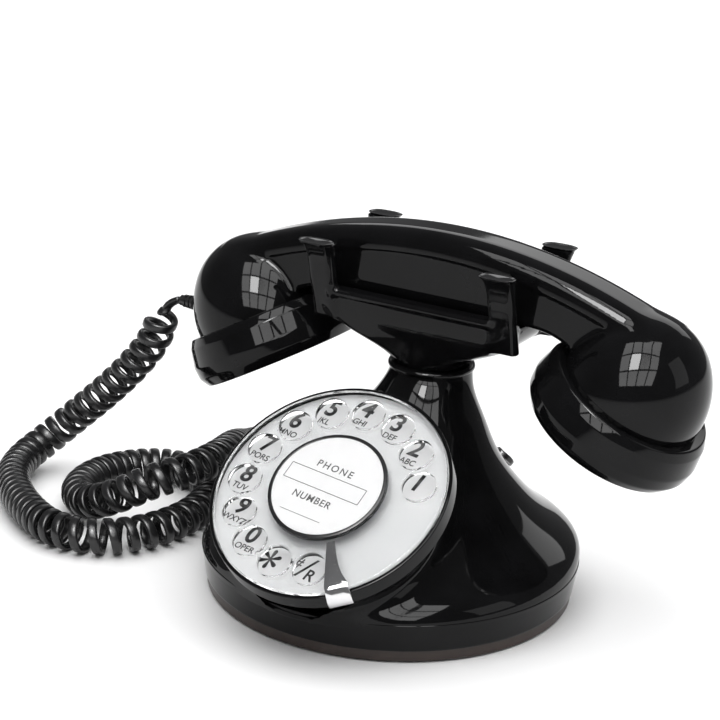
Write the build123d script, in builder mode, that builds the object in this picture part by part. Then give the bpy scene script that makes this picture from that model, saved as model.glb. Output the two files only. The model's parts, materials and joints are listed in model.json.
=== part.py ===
"""Retro rotary telephone with a bell-shaped base, a tilted finger-wheel dial, a four-horned
cradle and a handset on a curly cord.

Millimetres, +Z up, the dial faces -Y and the handset lies along X. The origin is under the
middle of the telephone, on the surface that it stands on.
"""
import os
from math import cos, radians, sin, tan

from build123d import *

os.makedirs("parts", exist_ok=True)

# ---- driving dimensions ------------------------------------------------------------------
base_x = -3.4             # the base circle's centre, from the middle of the handset
base_y = 6.35

foot_height = 1.0         # rubber feet under the base plate
foot_radius = 6.0
foot_circle = 60.0
plate_radius = 72.7
plate_thickness = 3.9
seat_thickness = 1.2      # floor of the foot pockets in the base plate

rim_bottom = 5.1
rim_top = 16.1
rim_radius = 73.5
shoulder_radius = 75.2
wall = 2.4
neck_back = 26.4          # the neck stands behind the base circle's centre
neck_radius = 16.6
neck_top = 84.0

dial_back = -51.5         # middle of the finger wheel, from the base circle's centre
dial_height = 57.2
dial_tilt = 53.3          # the dial's normal, degrees above the horizontal
wheel_radius = 45.5
wheel_thickness = 2.6
hole_radius = 6.6
hole_circle = 35.1
hole_count = 12
hole_pitch = 24.28        # degrees between neighbouring finger holes
first_hole = 17.8         # degrees of hole 1, counter-clockwise from the dial's right
drum_radius = 47.3
drum_depth = 9.0
stop_angle = -58.5        # degrees of the finger stop on the dial
number_plate_depth = 4.6  # front of the number plate behind the wheel's front
mechanism_depth = 18.0    # front of the dial's mechanism frame

shaft_radius = 3.0
gear_module = 1.0
main_teeth = 40
pinion_teeth = 10
gear_backlash = 0.5       # extra distance between the gears' centres
gear_distance = (main_teeth + pinion_teeth) / 2 * gear_module + gear_backlash
gear_depth = mechanism_depth + 4.2
governor_shaft = 1.5

cradle_floor = 111.7      # bottom of the channel that the handset's grip lies in
horn_x = 39.5
horn_top = 134.9
horn_spread = 27.5

grip_half = 13.0
grip_bottom = 112.0
grip_crown = 141.8
grip_arch = 424.0         # crown height falls by x^2 / grip_arch
grip_end = 96.0
dome_x = 83.0
dome_z = 91.5
dome_tilt = 29.0
dome_radius = 28.9
dome_offset = 7.5         # the dome's side arc is centred this far past the axis
dome_join = 40.0          # degrees up the side arc where the ball end takes over
cap_lip_radius = 33.0
cap_rim_radius = 36.0
cap_depth = 20.5
shell_wall = 2.4

coil_diameter = 15.0
lead_diameter = 4.6
jack_angle = 125.0

boss_radius = 4.6
screw_radius = 1.5
screw_circle = 67.5
plunger_radius = 3.6
cradle_screw_places = [(-9.0, 0.0), (9.0, 0.0)]
jack_z = 10.9
jack_width = 13.6
jack_height = 9.4
knob_radius = 5.4
knob_shaft_radius = 2.0
knob_right = 21.6
knob_back = 50.2
knob_height = 41.5
knob_angle = 62.0

fit = 0.05                # running clearance of shafts in their bushes
gap = 0.35                # clearance between parts that move past each other

neck_y = base_y + neck_back
plate_screw_places = [
    (screw_circle * cos(radians(angle)), screw_circle * sin(radians(angle)))
    for angle in (30, 150, 210, 330)
]


# ---- reference planes --------------------------------------------------------------------
dial_normal = Vector(0, -cos(radians(dial_tilt)), sin(radians(dial_tilt)))
dial_centre = Vector(base_x, base_y + dial_back, dial_height)


def dial_plane(depth):
    """Plane parallel to the finger wheel's front face, `depth` behind it."""
    return Plane(origin=dial_centre - dial_normal * depth, x_dir=(1, 0, 0), z_dir=dial_normal)


def dome_plane(side, height=0.0):
    """Plane across a dome's axis, `height` above the seam; side is -1 (left) or 1 (right)."""
    axis = Vector(side * sin(radians(dome_tilt)), 0, cos(radians(dome_tilt)))
    return Plane(origin=Vector(side * dome_x, neck_y, dome_z) + axis * height,
                 x_dir=(0, 1, 0), z_dir=axis)


def upright_plane(plane):
    """The half-plane through an axis: its Y runs along the given plane's normal."""
    return Plane(origin=plane.origin, x_dir=plane.x_dir, z_dir=plane.x_dir.cross(plane.z_dir))


def level(height):
    """Horizontal plane centred on the base circle."""
    return Plane.XY.offset(height).shift_origin((base_x, base_y, height))


def neck_level(height):
    """Horizontal plane centred on the neck."""
    return Plane.XY.offset(height).shift_origin((base_x, neck_y, height))


def end_plane(x, z):
    """Plane facing +X, at a place along the handset."""
    return Plane(origin=(x, neck_y, z), x_dir=(0, 1, 0), z_dir=(1, 0, 0))


def jack_plane(angle):
    """Plane on the rim at an angle of the base circle, its normal pointing outward."""
    outward = Vector(cos(radians(angle)), sin(radians(angle)), 0)
    return Plane(origin=Vector(base_x, base_y, jack_z) + outward * rim_radius,
                 x_dir=(-sin(radians(angle)), cos(radians(angle)), 0), z_dir=outward)


def finish(piece, label):
    """Label a finished sub-part and write it."""
    piece.label = label
    export_step(piece, f"parts/{label}.step")


knob_outward = Vector(cos(radians(knob_angle)), sin(radians(knob_angle)), 1.0).normalized()
knob_plane = Plane(origin=(base_x + knob_right, base_y + knob_back, knob_height),
                   x_dir=(-sin(radians(knob_angle)), cos(radians(knob_angle)), 0),
                   z_dir=knob_outward)


# ---- housing -----------------------------------------------------------------------------
# height, radius and set-back of the bell's sections, from the shoulder to the neck
bell_sections = [
    (rim_top, shoulder_radius, 0.0),
    (22.0, 73.2, 2.2),
    (30.0, 61.0, 5.3),
    (40.0, 47.2, 9.2),
    (52.0, 35.0, 14.0),
    (66.0, 25.4, 19.4),
    (78.0, 18.2, 24.2),
    (neck_top, neck_radius, neck_back),
]
drum_back = 32.0          # the drum's tail ends this deep inside the bell
drum_tail_radius = 30.0
saddle_height = 74.0      # the bridge from the drum to the neck ends here
saddle_radius = 20.0
saddle_back = 22.6

with BuildPart() as bell_housing:
    for height, radius, back in bell_sections:
        with BuildSketch(level(height)):
            with Locations((0, back)):
                Circle(radius)
    loft()
    with BuildSketch(level(rim_bottom)):
        Circle(rim_radius)
    with BuildSketch(level(rim_top)):
        Circle(shoulder_radius)
    loft()
    with BuildSketch(dial_plane(drum_depth)):
        Circle(drum_radius)
    extrude(amount=drum_depth - 1.2)
    with BuildSketch(dial_plane(drum_depth)):
        Circle(drum_radius)
    with BuildSketch(dial_plane(drum_back)):
        Circle(drum_tail_radius)
    loft()
    with BuildSketch(dial_plane(drum_depth)):
        Circle(drum_radius - 4)
    with BuildSketch(level(saddle_height)):
        with Locations((0, saddle_back)):
            Circle(saddle_radius)
    loft()
    # the hollow inside
    for height, radius, back in bell_sections[1:-1]:
        with BuildSketch(level(height - wall)):
            with Locations((0, back)):
                Circle(radius - wall)
    loft(mode=Mode.SUBTRACT)
    with BuildSketch(level(0)):
        Circle(rim_radius - wall)
    extrude(amount=22.0 - wall, mode=Mode.SUBTRACT)
    # the dial's seat: a recess for the wheel, a ledge for the number plate, then the bore
    with BuildSketch(dial_plane(number_plate_depth + 1.0)):
        Circle(wheel_radius + gap + 0.15)
    extrude(amount=number_plate_depth + 1.0, mode=Mode.SUBTRACT)
    with BuildSketch(dial_plane(drum_depth + 1.0)):
        Circle(wheel_radius - 2.5)
    extrude(amount=drum_depth + 1.0, mode=Mode.SUBTRACT)
    with BuildSketch(dial_plane(drum_depth)):
        Circle(drum_radius - 4.3)
    with BuildSketch(dial_plane(drum_back)):
        Circle(drum_tail_radius - wall)
    loft(mode=Mode.SUBTRACT)
    # bosses for the base plate's screws
    with BuildSketch(level(rim_bottom)):
        with Locations(*plate_screw_places):
            Circle(boss_radius)
    extrude(amount=14.0)
    with BuildSketch(level(rim_bottom)):
        with Locations(*plate_screw_places):
            Circle(screw_radius + fit)
    extrude(amount=11.0, mode=Mode.SUBTRACT)
    # way for the hook plunger through the neck
    with BuildSketch(neck_level(neck_top - 12)):
        Circle(plunger_radius + gap)
    extrude(amount=13.0, mode=Mode.SUBTRACT)
    with BuildSketch(neck_level(neck_top - 12)):
        with Locations(*cradle_screw_places):
            Circle(screw_radius + fit)
    extrude(amount=13.0, mode=Mode.SUBTRACT)
    # windows for the two sockets and a hole for the ringer control
    for plane in (jack_plane(jack_angle), jack_plane(90.0)):
        with BuildSketch(plane):
            Rectangle(jack_width, jack_height)
        extrude(amount=12.0, both=True, mode=Mode.SUBTRACT)
    with BuildSketch(knob_plane):
        Circle(knob_shaft_radius + fit)
    extrude(amount=12.0, both=True, mode=Mode.SUBTRACT)
finish(bell_housing.part, "bell_housing")

# ---- base --------------------------------------------------------------------------------
with BuildPart() as base_plate:
    with BuildSketch(level(foot_height)):
        Circle(plate_radius)
        with PolarLocations(foot_circle, 4, start_angle=45):
            Circle(foot_radius, mode=Mode.SUBTRACT)
        with Locations(*plate_screw_places):
            Circle(screw_radius + fit, mode=Mode.SUBTRACT)
    extrude(amount=plate_thickness)
    with BuildSketch(level(foot_height)):
        with Locations(*plate_screw_places):
            Circle(3.2)
    extrude(amount=2.0, mode=Mode.SUBTRACT)
    # seats close the foot pockets from above
    with BuildSketch(level(foot_height + plate_thickness - seat_thickness)):
        with PolarLocations(foot_circle, 4, start_angle=45):
            Circle(foot_radius + 0.5)
    extrude(amount=seat_thickness)
finish(base_plate.part, "base_plate")

with BuildPart() as rubber_feet:
    with BuildSketch(level(0)):
        with PolarLocations(foot_circle, 4, start_angle=45):
            Circle(foot_radius)
    extrude(amount=foot_height + plate_thickness - seat_thickness)
    chamfer(rubber_feet.faces().sort_by(Axis.Z)[:4].edges(), 0.4)
finish(rubber_feet.part, "rubber_feet")

with BuildPart() as plate_screws:
    with BuildSketch(level(foot_height + 0.2)):
        with Locations(*plate_screw_places):
            Circle(3.0)
            Rectangle(4.0, 0.8, mode=Mode.SUBTRACT)
    extrude(amount=1.8)
    with BuildSketch(level(foot_height + 2.0)):
        with Locations(*plate_screw_places):
            Circle(screw_radius)
    extrude(amount=12.0)
finish(plate_screws.part, "plate_screws")

plate_top = foot_height + plate_thickness

with BuildPart() as ballast_weight:
    with BuildSketch(level(plate_top)):
        with Locations((0, 38)):
            RectangleRounded(66, 26, 4)
    extrude(amount=9.0)
    chamfer(ballast_weight.faces().sort_by(Axis.Z)[-1].edges(), 0.8)
finish(ballast_weight.part, "ballast_weight")

board_z = 11.0
board_size = (78.0, 44.0)
board_middle = (0.0, -14.0)
board_posts = (66.0, 34.0)
board_thickness = 1.6
board_screw = 1.05

with BuildPart() as board_spacers:
    with BuildSketch(level(plate_top)):
        with Locations(board_middle):
            with GridLocations(*board_posts, 2, 2):
                Circle(3.0)
                Circle(board_screw + fit, mode=Mode.SUBTRACT)
    extrude(amount=board_z - plate_top)
finish(board_spacers.part, "board_spacers")

with BuildPart() as main_board:
    with BuildSketch(level(board_z)):
        with Locations(board_middle):
            Rectangle(*board_size)
            with GridLocations(*board_posts, 2, 2):
                Circle(board_screw + 0.15, mode=Mode.SUBTRACT)
    extrude(amount=board_thickness)
finish(main_board.part, "main_board")

with BuildPart() as board_screws:
    with BuildSketch(level(board_z + board_thickness)):
        with Locations(board_middle):
            with GridLocations(*board_posts, 2, 2):
                Circle(2.2)
    extrude(amount=1.5)
    with BuildSketch(level(board_z + board_thickness)):
        with Locations(board_middle):
            with GridLocations(*board_posts, 2, 2):
                Circle(board_screw)
    extrude(amount=-5.5)
finish(board_screws.part, "board_screws")

with BuildPart() as board_chips:
    with BuildSketch(level(board_z + board_thickness)):
        with Locations((-14, -14), (12, -8)):
            Rectangle(16, 8)
        with Locations((-22, -2), (24, -22)):
            Circle(3.5)
    extrude(amount=4.0)
finish(board_chips.part, "board_chips")

sounder_place = (-46, 20)
sounder_height = 8.0

with BuildPart() as sounder:
    with BuildSketch(level(plate_top)):
        with Locations(sounder_place):
            Circle(12.0)
    extrude(amount=sounder_height)
    with BuildSketch(level(plate_top + sounder_height)):
        with Locations(sounder_place):
            Circle(10.0)
    extrude(amount=1.0)
    with BuildSketch(level(plate_top + sounder_height + 1.0)):
        with Locations(sounder_place):
            Circle(2.5)
    extrude(amount=-3.0, mode=Mode.SUBTRACT)
finish(sounder.part, "sounder")


def socket(plane, label):
    """A modular socket behind its window in the rim."""
    with BuildPart() as piece:
        with BuildSketch(plane.offset(-13.5)):
            Rectangle(jack_width - 0.4, jack_height - 0.2)
        extrude(amount=13.2)
        with BuildSketch(plane.offset(-11.5)):
            Rectangle(jack_width - 2.4, jack_height - 2.0)
        extrude(amount=12.0, mode=Mode.SUBTRACT)
    finish(piece.part, label)


socket(jack_plane(jack_angle), "handset_socket")
socket(jack_plane(90.0), "line_socket")

# ---- dial --------------------------------------------------------------------------------
label_radius = 21.75
ring_radius = 23.2
hub_radius = 7.0
flange_height = 1.2       # of the hub's flange, which carries the label, on the wheel
ring_height = 1.2
card_thickness = 0.4
cover_thickness = 0.7

with BuildPart() as number_plate:
    with BuildSketch(dial_plane(number_plate_depth + 1.0)):
        Circle(wheel_radius + 0.35)
        Circle(hub_radius + 1.5, mode=Mode.SUBTRACT)
    extrude(amount=1.0)
finish(number_plate.part, "number_plate")

pillar_circle = 29.0
pillar_start = 30.0       # degrees of the first of three pillars on the dial
pillar_radius = 2.6
pillar_screw = 1.05
frame_thickness = 2.0
frame_radius = 34.0
bearing_radius = 6.0

with BuildPart() as mechanism_frame:
    with BuildSketch(dial_plane(mechanism_depth + frame_thickness)):
        Circle(frame_radius)
        Circle(bearing_radius, mode=Mode.SUBTRACT)
        with PolarLocations(pillar_circle, 3, start_angle=pillar_start):
            Circle(pillar_screw + fit, mode=Mode.SUBTRACT)
        with Locations((0, gear_distance)):
            Circle(governor_shaft + fit, mode=Mode.SUBTRACT)
    extrude(amount=frame_thickness)
finish(mechanism_frame.part, "mechanism_frame")

with BuildPart() as frame_pillars:
    with BuildSketch(dial_plane(mechanism_depth)):
        with PolarLocations(pillar_circle, 3, start_angle=pillar_start):
            Circle(pillar_radius)
    extrude(amount=mechanism_depth - number_plate_depth - 1.0)
    with BuildSketch(dial_plane(mechanism_depth)):
        with PolarLocations(pillar_circle, 3, start_angle=pillar_start):
            Circle(pillar_screw + fit)
    extrude(amount=5.0, mode=Mode.SUBTRACT)
finish(frame_pillars.part, "frame_pillars")

with BuildPart() as frame_screws:
    with BuildSketch(dial_plane(mechanism_depth + frame_thickness + 1.6)):
        with PolarLocations(pillar_circle, 3, start_angle=pillar_start):
            Circle(2.2)
    extrude(amount=1.6)
    with BuildSketch(dial_plane(mechanism_depth + frame_thickness)):
        with PolarLocations(pillar_circle, 3, start_angle=pillar_start):
            Circle(pillar_screw)
    extrude(amount=frame_thickness + 4.5)
finish(frame_screws.part, "frame_screws")

with BuildPart() as dial_bearing:
    with BuildSketch(dial_plane(mechanism_depth + 3.0)):
        Circle(bearing_radius)
        Circle(shaft_radius + fit, mode=Mode.SUBTRACT)
    extrude(amount=9.0)
finish(dial_bearing.part, "dial_bearing")

with BuildPart() as return_spring:
    with BuildSketch(dial_plane(mechanism_depth - 1.5)):
        with BuildLine():
            # half turns whose centres change sides, so that each grows by one spacing
            for half in range(8):
                side = 1 if half % 2 == 0 else -1
                radius = 8.0 + 1.1 * half
                centre = (0.55 * side, 0)
                CenterArc(centre, radius, 0 if side > 0 else 180, 180)
        trace(line_width=0.5)
    extrude(amount=4.0)
finish(return_spring.part, "return_spring")

with BuildPart() as pulse_contacts:
    with BuildSketch(dial_plane(mechanism_depth)):
        with Locations((-24, 0)):
            Rectangle(7, 12)
    extrude(amount=2.5)
    for step in range(3):
        with BuildSketch(dial_plane(mechanism_depth - 2.5 - 1.4 * step)):
            with Locations((-24, -1)):
                Rectangle(5, 19)
        extrude(amount=0.4)
        with BuildSketch(dial_plane(mechanism_depth - 2.5 - 1.4 * step)):
            with Locations((-24, 0)):
                Rectangle(6, 8)
        extrude(amount=1.4)
finish(pulse_contacts.part, "pulse_contacts")

with BuildPart() as finger_wheel:
    with BuildSketch(dial_plane(wheel_thickness)):
        Circle(wheel_radius)
        Circle(hub_radius, mode=Mode.SUBTRACT)
        for hole in range(hole_count):
            angle = radians(first_hole + hole_pitch * hole)
            with Locations((hole_circle * cos(angle), hole_circle * sin(angle))):
                Circle(hole_radius, mode=Mode.SUBTRACT)
    extrude(amount=wheel_thickness)
finish(finger_wheel.part, "finger_wheel")

with BuildPart() as wheel_hub:
    with BuildSketch(dial_plane(wheel_thickness + 1.2)):
        Circle(hub_radius)
        Circle(shaft_radius, mode=Mode.SUBTRACT)
    extrude(amount=wheel_thickness + 1.2)
    with BuildSketch(dial_plane(0)):
        Circle(ring_radius)
    extrude(amount=flange_height)
finish(wheel_hub.part, "wheel_hub")

with BuildPart() as label_ring:
    with BuildSketch(dial_plane(-flange_height)):
        Circle(ring_radius)
        Circle(label_radius, mode=Mode.SUBTRACT)
    extrude(amount=ring_height)
finish(label_ring.part, "label_ring")

with BuildPart() as label_card:
    with BuildSketch(dial_plane(-flange_height)):
        Circle(label_radius)
    extrude(amount=card_thickness)
finish(label_card.part, "label_card")

with BuildPart() as label_cover:
    with BuildSketch(dial_plane(-flange_height - card_thickness)):
        Circle(label_radius)
    extrude(amount=cover_thickness)
finish(label_cover.part, "label_cover")

with BuildPart() as dial_shaft:
    with BuildSketch(dial_plane(mechanism_depth + 9.0)):
        Circle(shaft_radius)
    extrude(amount=mechanism_depth + 9.0)
finish(dial_shaft.part, "dial_shaft")


def gear_outline(teeth, phase):
    """Trapezoid teeth, thin enough to run free; `phase` is where tooth 0 points, degrees."""
    pitch = 360 / teeth
    pitch_radius = teeth * gear_module / 2
    corners = [(-0.30, -1.15), (-0.10, 0.9), (0.10, 0.9), (0.30, -1.15)]
    points = []
    for tooth in range(teeth):
        for share, height in corners:
            angle = radians(phase + pitch * (tooth + share))
            reach = pitch_radius + gear_module * height
            points.append((reach * cos(angle), reach * sin(angle)))
    return points


with BuildPart() as main_gear:
    with BuildSketch(dial_plane(gear_depth + 3.0)):
        with BuildLine():
            Polyline(*gear_outline(main_teeth, 90.0), close=True)
        make_face()
        Circle(shaft_radius, mode=Mode.SUBTRACT)
    extrude(amount=3.0)
finish(main_gear.part, "main_gear")


def governor_plane(depth):
    """Plane across the governor's axis, which is above the dial's axis."""
    plane = dial_plane(depth)
    return plane.shift_origin(plane.origin + plane.y_dir * gear_distance)


with BuildPart() as governor_pinion:
    with BuildSketch(governor_plane(gear_depth + 3.5)):
        with BuildLine():
            Polyline(*gear_outline(pinion_teeth, 270.0 + 180 / pinion_teeth), close=True)
        make_face()
    extrude(amount=4.0)
    with BuildSketch(governor_plane(mechanism_depth + 18.0)):
        Circle(governor_shaft)
    extrude(amount=19.0)
finish(governor_pinion.part, "governor_pinion")

with BuildPart() as governor_weights:
    with BuildSketch(governor_plane(mechanism_depth + 16.0)):
        Rectangle(13.0, 3.0)
        Circle(3.0)
        with Locations((-6.5, 0), (6.5, 0)):
            Circle(2.8)
        Circle(governor_shaft, mode=Mode.SUBTRACT)
    extrude(amount=3.0)
finish(governor_weights.part, "governor_weights")

with BuildPart() as governor_cup:
    with BuildSketch(governor_plane(mechanism_depth + 19.5)):
        Circle(11.7)
        Circle(governor_shaft + fit, mode=Mode.SUBTRACT)
    extrude(amount=7.5)
    with BuildSketch(governor_plane(mechanism_depth + 18.2)):
        Circle(10.3)
    extrude(amount=6.2, mode=Mode.SUBTRACT)
finish(governor_cup.part, "governor_cup")

stop_outward = (Vector(1, 0, 0) * cos(radians(stop_angle))
                + dial_plane(0).y_dir * sin(radians(stop_angle)))
stop_plane = Plane(origin=dial_plane(-1.9).origin, x_dir=stop_outward, z_dir=dial_normal)
with BuildPart() as finger_stop:
    with BuildSketch(stop_plane):
        with BuildLine():
            Polyline((26.3, -2.2), (45.5, -4.5), (48.6, -4.5), (48.6, 4.5), (45.5, 4.5))
            ThreePointArc((45.5, 4.5), (37.0, 1.1), (26.3, 1.2))
            Line((26.3, 1.2), (26.3, -2.2))
        make_face()
    extrude(amount=0.9)
    with BuildSketch(stop_plane):
        with Locations((48.1, 0)):
            Rectangle(1.0, 9.0)
    extrude(amount=-6.0)
finish(finger_stop.part, "finger_stop")

# ---- cradle and hook ---------------------------------------------------------------------
collar_top = 86.6
collar_radius = 17.5

with BuildPart() as neck_collar:
    with BuildSketch(neck_level(neck_top)):
        Circle(collar_radius)
        Circle(11.0, mode=Mode.SUBTRACT)
    extrude(amount=collar_top - neck_top)
    fillet(neck_collar.edges().filter_by(GeomType.CIRCLE).sort_by(SortBy.RADIUS)[-2:], 1.25)
finish(neck_collar.part, "neck_collar")

# height, half length, half width and corner radius of the cradle's hull
cradle_sections = [
    (collar_top, 14.5, 14.5, 14.0),
    (92.0, 21.0, 16.0, 12.5),
    (99.0, 35.0, 18.5, 10.0),
    (106.0, 41.6, 20.0, 8.0),
    (114.5, 43.0, 20.6, 7.0),
]
channel_half = grip_half + 0.6
horn_bottom = 108.0
horn_bend = 130.5

with BuildPart() as cradle:
    for height, half_length, half_width, corner in cradle_sections:
        with BuildSketch(neck_level(height)):
            RectangleRounded(2 * half_length, 2 * half_width, corner)
    loft()
    with BuildSketch(neck_level(neck_top)):
        Circle(10.8)
    extrude(amount=collar_top - neck_top)
    with BuildSketch(end_plane(base_x - 34, 113.2)):
        with Locations((-20.2, 0), (20.2, 0)):
            Circle(1.5)
    extrude(amount=68.0)
    with BuildSketch(neck_level(cradle_floor)):
        Rectangle(120.0, 2 * channel_half)
    extrude(amount=10.0, mode=Mode.SUBTRACT)
    for end in (-1, 1):
        for side in (-1, 1):
            with BuildSketch(neck_level(horn_bottom)):
                with Locations((end * horn_x, side * 17.6)):
                    RectangleRounded(11.0, 5.6, 2.4)
            with BuildSketch(neck_level(horn_bend)):
                with Locations((end * horn_x, side * 24.6)):
                    RectangleRounded(12.0, 5.0, 2.2)
            loft()
            with BuildSketch(neck_level(horn_bend)):
                with Locations((end * horn_x, side * 24.6)):
                    RectangleRounded(12.0, 5.0, 2.2)
            with BuildSketch(neck_level(horn_top - 0.9)):
                with Locations((end * horn_x, side * horn_spread)):
                    RectangleRounded(14.6, 8.6, 4.0)
            loft()
            with BuildSketch(neck_level(horn_top - 0.9)):
                with Locations((end * horn_x, side * horn_spread)):
                    RectangleRounded(14.6, 8.6, 4.0)
            extrude(amount=0.9)
    with BuildSketch(neck_level(neck_top)):
        Circle(plunger_radius + gap)
    extrude(amount=40.0, mode=Mode.SUBTRACT)
    with BuildSketch(neck_level(neck_top)):
        with Locations(*cradle_screw_places):
            Circle(screw_radius + fit)
    extrude(amount=14.0, mode=Mode.SUBTRACT)
finish(cradle.part, "cradle")

neck_ceiling = bell_sections[-2][0] - wall
contacts_bottom = 54.0
flange_bottom = 66.0      # the plunger's flange, which keeps it from being pulled out

with BuildPart() as cradle_screws:
    with BuildSketch(neck_level(neck_ceiling)):
        with Locations(*cradle_screw_places):
            Circle(2.8)
    extrude(amount=-1.8)
    with BuildSketch(neck_level(neck_ceiling)):
        with Locations(*cradle_screw_places):
            Circle(screw_radius)
    extrude(amount=20.0)
finish(cradle_screws.part, "cradle_screws")

with BuildPart() as hook_plunger:
    with BuildSketch(neck_level(flange_bottom + 1.5)):
        Circle(plunger_radius)
    extrude(amount=grip_bottom - gap - flange_bottom - 1.5)
    fillet(hook_plunger.edges().sort_by(Axis.Z)[-1], 1.2)
    with BuildSketch(neck_level(flange_bottom)):
        Circle(5.6)
    extrude(amount=1.5)
finish(hook_plunger.part, "hook_plunger")

with BuildPart() as hook_bracket:
    with BuildSketch(neck_level(contacts_bottom)):
        with Locations((-12.6, 0)):
            Rectangle(1.4, 6.0)
    extrude(amount=neck_ceiling - contacts_bottom)
finish(hook_bracket.part, "hook_bracket")

with BuildPart() as hook_contacts:
    with BuildSketch(neck_level(contacts_bottom)):
        with Locations((-7.9, 0)):
            Rectangle(8.0, 6.0)
    extrude(amount=10.0)
    for height in (2.0, 5.5, 9.6):
        with BuildSketch(neck_level(contacts_bottom + height)):
            with Locations((-1.0, 0)):
                Rectangle(20.0, 5.0)
        extrude(amount=0.4)
finish(hook_contacts.part, "hook_contacts")

# ---- ringer control ----------------------------------------------------------------------
with BuildPart() as ringer_knob:
    with BuildSketch(knob_plane.offset(0.9)):
        Circle(knob_radius)
    extrude(amount=2.2)
    chamfer(ringer_knob.faces().sort_by(Axis((0, 0, 0), knob_outward))[-1].edges(), 0.5)
    with BuildSketch(knob_plane.offset(3.1)):
        Rectangle(1.2, 8.0)
    extrude(amount=0.5)
finish(ringer_knob.part, "ringer_knob")

with BuildPart() as knob_shaft:
    with BuildSketch(knob_plane.offset(-5.0)):
        Circle(knob_shaft_radius)
    extrude(amount=5.9)
finish(knob_shaft.part, "knob_shaft")

with BuildPart() as ringer_control:
    with BuildSketch(knob_plane.offset(-10.0)):
        Rectangle(10.0, 10.0)
    extrude(amount=4.7)
finish(ringer_control.part, "ringer_control")

# ---- handset -----------------------------------------------------------------------------
handset_plane = Plane(origin=(0, neck_y, 0), x_dir=(1, 0, 0), z_dir=(0, -1, 0))
relief_z = 88.0
relief_start = 115.5      # how far left of the middle the strain relief's rings begin
relief_end = 124.5
relief_pitch = 2.0
relief_ring = 1.2


def grip_outline(inset):
    """Side view of the grip, drawn `inset` inside its surface."""
    crown = grip_crown - inset
    end_z = crown - grip_end ** 2 / grip_arch
    belly = grip_bottom + inset
    ThreePointArc((-grip_end, end_z), (0, crown), (grip_end, end_z))
    Line((grip_end, end_z), (72.0, 100.0))
    ThreePointArc((72.0, 100.0), (60.5, 107.0 + inset), (48.0, belly))
    Line((48.0, belly), (-48.0, belly))
    ThreePointArc((-48.0, belly), (-60.5, 107.0 + inset), (-72.0, 100.0))
    Line((-72.0, 100.0), (-grip_end, end_z))


def dome_outline(inset):
    """Half section of a dome, `inset` inside its surface: a wide arc that rises from the
    seam, joined to the ball end's tighter arc where both slope alike."""
    side_radius = dome_radius + dome_offset - inset
    ball_centre = dome_offset * tan(radians(dome_join))
    ball_radius = side_radius - dome_offset / cos(radians(dome_join))
    Line((0, 0), (side_radius - dome_offset, 0))
    CenterArc((-dome_offset, 0), side_radius, 0, dome_join)
    CenterArc((0, ball_centre), ball_radius, dome_join, 90 - dome_join)
    Line((0, ball_centre + ball_radius), (0, 0))


with BuildPart() as handset_shell:
    with BuildSketch(handset_plane):
        with BuildLine():
            grip_outline(0)
        make_face()
    extrude(amount=grip_half, both=True)
    crown_edges = handset_shell.edges().filter_by(GeomType.CIRCLE).sort_by(SortBy.RADIUS)[-2:]
    fillet(crown_edges, 5.0)
    for side in (-1, 1):
        plane = dome_plane(side)
        with BuildSketch(upright_plane(plane)):
            with BuildLine():
                dome_outline(0)
            make_face()
        revolve(axis=Axis(plane.origin, plane.z_dir))
    with BuildSketch(handset_plane):
        with BuildLine():
            grip_outline(shell_wall)
        make_face()
    extrude(amount=grip_half - shell_wall, both=True, mode=Mode.SUBTRACT)
    for side in (-1, 1):
        plane = dome_plane(side)
        with BuildSketch(upright_plane(plane)):
            with BuildLine():
                dome_outline(shell_wall)
            make_face()
        revolve(axis=Axis(plane.origin, plane.z_dir), mode=Mode.SUBTRACT)
    with BuildSketch(end_plane(-relief_end, relief_z)):
        Circle(2.3)
    extrude(amount=18.0, mode=Mode.SUBTRACT)
finish(handset_shell.part, "handset_shell")


def cap(side, label):
    """A screwed-on cap: spigot, lip at the seam, flaring wall, chamfer and pierced face."""
    plane = dome_plane(side)
    spigot = dome_radius - shell_wall - gap
    with BuildPart() as piece:
        with BuildSketch(upright_plane(plane)):
            with BuildLine():
                Polyline((spigot - 2.2, 4.0), (spigot, 4.0), (spigot, -0.05),
                         (cap_lip_radius - 1.8, -0.05), (cap_lip_radius - 0.4, -0.8),
                         (cap_lip_radius + 0.2, -2.0), (cap_rim_radius - 0.5, -6.0),
                         (cap_rim_radius, -12.0), (cap_rim_radius - 0.6, -16.5),
                         (cap_rim_radius - 3.0, -cap_depth), (0, -cap_depth),
                         (0, -cap_depth + 2.4), (cap_rim_radius - 5.0, -cap_depth + 2.4),
                         (cap_rim_radius - 3.4, -15.5), (spigot - 2.2, -3.0), close=True)
            make_face()
        revolve(axis=Axis(plane.origin, plane.z_dir))
        with BuildSketch(dome_plane(side, -cap_depth)):
            Circle(1.0)
            with PolarLocations(5.5, 6):
                Circle(1.0)
            with PolarLocations(11.0, 12):
                Circle(1.0)
        extrude(amount=3.0, mode=Mode.SUBTRACT)
    finish(piece.part, label)


cap(1, "ear_cap")
cap(-1, "mouth_cap")


def capsule(side, radius, height, label):
    """A sound capsule lying on the inside of its cap's face."""
    with BuildPart() as piece:
        with BuildSketch(dome_plane(side, -cap_depth + 2.5)):
            Circle(radius)
            Circle(1.5, mode=Mode.SUBTRACT)
        extrude(amount=height)
        with BuildSketch(dome_plane(side, -cap_depth + 2.5 + height)):
            Circle(radius - 3.0)
        extrude(amount=1.5)
    finish(piece.part, label)


capsule(1, 23.0, 9.0, "receiver_capsule")
capsule(-1, 15.0, 7.0, "microphone_capsule")

with BuildPart() as handset_weight:
    with BuildSketch(handset_plane):
        with Locations((0, 121.0)):
            Rectangle(64.0, 9.0)
    extrude(amount=8.0, both=True)
    chamfer(handset_weight.edges().filter_by(Axis.X), 1.0)
finish(handset_weight.part, "handset_weight")

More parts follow.
